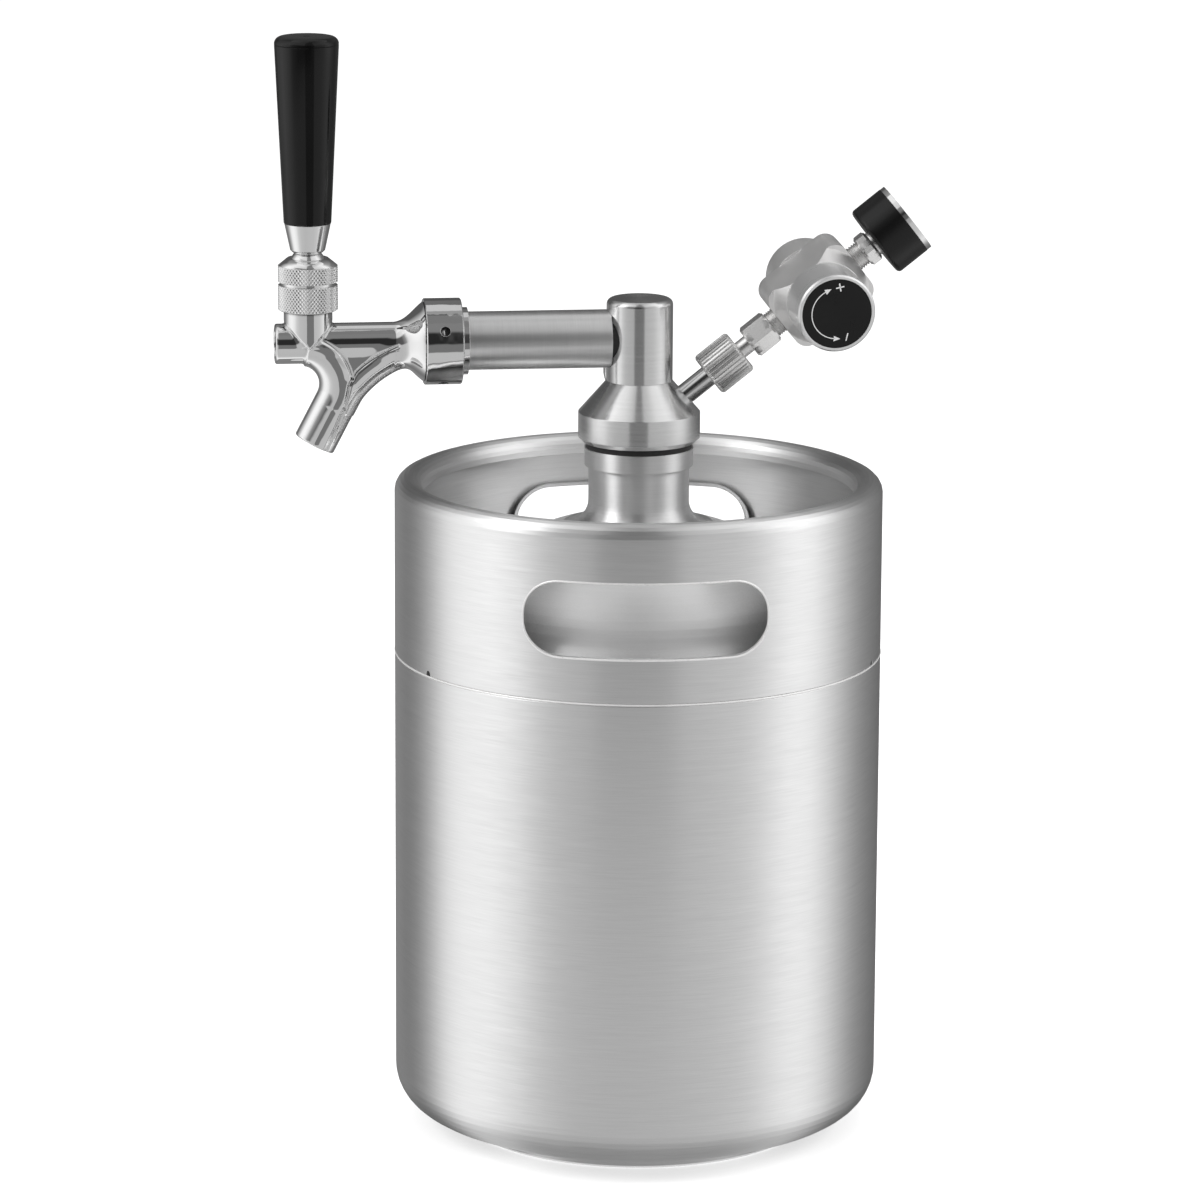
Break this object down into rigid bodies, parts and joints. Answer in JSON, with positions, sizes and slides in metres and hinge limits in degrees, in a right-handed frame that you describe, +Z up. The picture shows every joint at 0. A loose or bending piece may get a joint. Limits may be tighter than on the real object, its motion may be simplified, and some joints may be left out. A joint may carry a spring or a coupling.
{
  "type": "mini keg beer dispenser",
  "caption": "Stainless steel mini keg with a screw-in tap head: side faucet with lever, relief valve and an angled gas regulator with gauge.",
  "frame": {"origin": "centre of the keg's foot on the table", "axes": "+Z up the keg's axis, -X along the faucet's arm, +X to the gas side, -Y to the front of the regulator's knob"},
  "size_m": [0.2254, 0.168, 0.3828],
  "materials": {
    "brushed_keg": "fine brushing round the body",
    "satin_steel": "turned satin",
    "bright_chrome": "mirror polish",
    "nickel": "satin nickel plate",
    "spring_steel": "bright drawn wire",
    "black_gloss": "gloss",
    "black_satin": "satin black",
    "black_rubber": "matt",
    "white_nylon": "natural nylon",
    "dial_white": "printed card",
    "pointer_black": "painted",
    "clear_lens": "clear"
  },
  "bodies": {
    "keg": {"keg_shell": "brushed_keg", "keg_shoulder": "brushed_keg", "keg_neck": "satin_steel", "chime": "brushed_keg"},
    "gasket": {"collar_gasket": "black_rubber"},
    "riser": {"dip_tube": "satin_steel"},
    "head": {"collar": "satin_steel", "tower": "satin_steel", "dip_tube_seal": "black_rubber", "dip_tube_nut": "satin_steel", "gas_tail": "satin_steel", "shank": "satin_steel", "shank_washer": "black_rubber", "shank_ring": "bright_chrome", "coupling_nut": "bright_chrome", "coupling_gasket": "black_rubber", "tap_body": "bright_chrome", "bonnet": "bright_chrome", "ball_seat": "white_nylon", "friction_washer": "white_nylon", "relief_body": "satin_steel"},
    "lever": {"tap_lever": "bright_chrome", "handle_ferrule": "bright_chrome", "handle_grip": "black_gloss"},
    "valve": {"valve_shaft": "satin_steel", "shaft_seal": "black_rubber", "shaft_nut": "satin_steel"},
    "relief": {"relief_cap": "satin_steel", "relief_stem": "satin_steel", "relief_disc": "black_rubber", "relief_spring": "spring_steel"},
    "regulator": {"outlet_nipple": "nickel", "nipple_seal": "black_rubber", "regulator_body": "nickel", "closing_ring": "nickel", "diaphragm": "black_rubber", "regulator_spring": "spring_steel", "piercing_pin": "spring_steel", "socket_seal": "black_rubber", "gauge_stem": "nickel", "gauge_case": "black_satin", "gauge_dial": "dial_white", "pointer_pin": "spring_steel", "gauge_lens": "clear_lens", "gauge_bezel": "bright_chrome"},
    "union": {"union_nut": "nickel"},
    "plate": {"spring_plate": "nickel"},
    "knob": {"adjusting_screw": "nickel", "regulator_knob": "nickel", "knob_label": "black_satin"},
    "pointer": {"gauge_pointer": "pointer_black"}
  },
  "joints": [
    {"name": "head_lift", "type": "slide", "parent": "keg", "child": "riser", "axis": [0, 0, 1], "range_m": [0, 0.245]},
    {"name": "head_rise", "type": "slide", "parent": "riser", "child": "gasket", "axis": [0, 0, 1], "range_m": [0, 0.00901]},
    {"name": "head_turn", "type": "hinge", "parent": "gasket", "child": "head", "pos_m": [0, 0, 0.2423], "axis": [0, 0, 1], "range_deg": [0, 1080]},
    {"name": "lever_tilt", "type": "hinge", "parent": "head", "child": "lever", "pos_m": [-0.1136, 0, 0.305], "axis": [0, -1, 0], "range_deg": [0, 15]},
    {"name": "valve_slide", "type": "slide", "parent": "head", "child": "valve", "axis": [1, 0, 0], "range_m": [0, 0.007]},
    {"name": "relief_pull", "type": "slide", "parent": "head", "child": "relief", "axis": [0, 1, 0], "range_m": [0, 0.0025], "stiffness_N_per_m": 800, "springref_m": -0.002, "deforming": ["relief_spring"]},
    {"name": "regulator_pull", "type": "slide", "parent": "head", "child": "regulator", "axis": [0.7837, 0, 0.6211], "range_m": [0, 0.03]},
    {"name": "union_nut_turn", "type": "hinge", "parent": "regulator", "child": "union", "pos_m": [0.02931, 0, 0.26873], "axis": [0.7837, 0, 0.6211], "continuous": true},
    {"name": "plate_slide", "type": "slide", "parent": "regulator", "child": "plate", "axis": [0.0703, -0.9936, -0.0887], "range_m": [0, 0.00251], "deforming": ["regulator_spring"]},
    {"name": "knob_turn", "type": "hinge", "parent": "plate", "child": "knob", "pos_m": [0.06226, -0.01987, 0.29196], "axis": [0.0703, -0.9936, -0.0887], "range_deg": [0, 720]},
    {"name": "pointer_turn", "type": "hinge", "parent": "regulator", "child": "pointer", "pos_m": [0.08848, 0, 0.31563], "axis": [-0.7837, 0, -0.6211], "range_deg": [0, 270], "stiffness_Nm_per_rad": 0.0001, "springref_deg": -28.65}
  ],
  "couplings": [
    {"joint": "head_rise", "follows": "head_turn", "m_per_rad": 0.00047746},
    {"joint": "valve_slide", "follows": "lever_tilt", "m_per_rad": 0.026693},
    {"joint": "plate_slide", "follows": "knob_turn", "m_per_rad": 0.00019894}
  ]
}
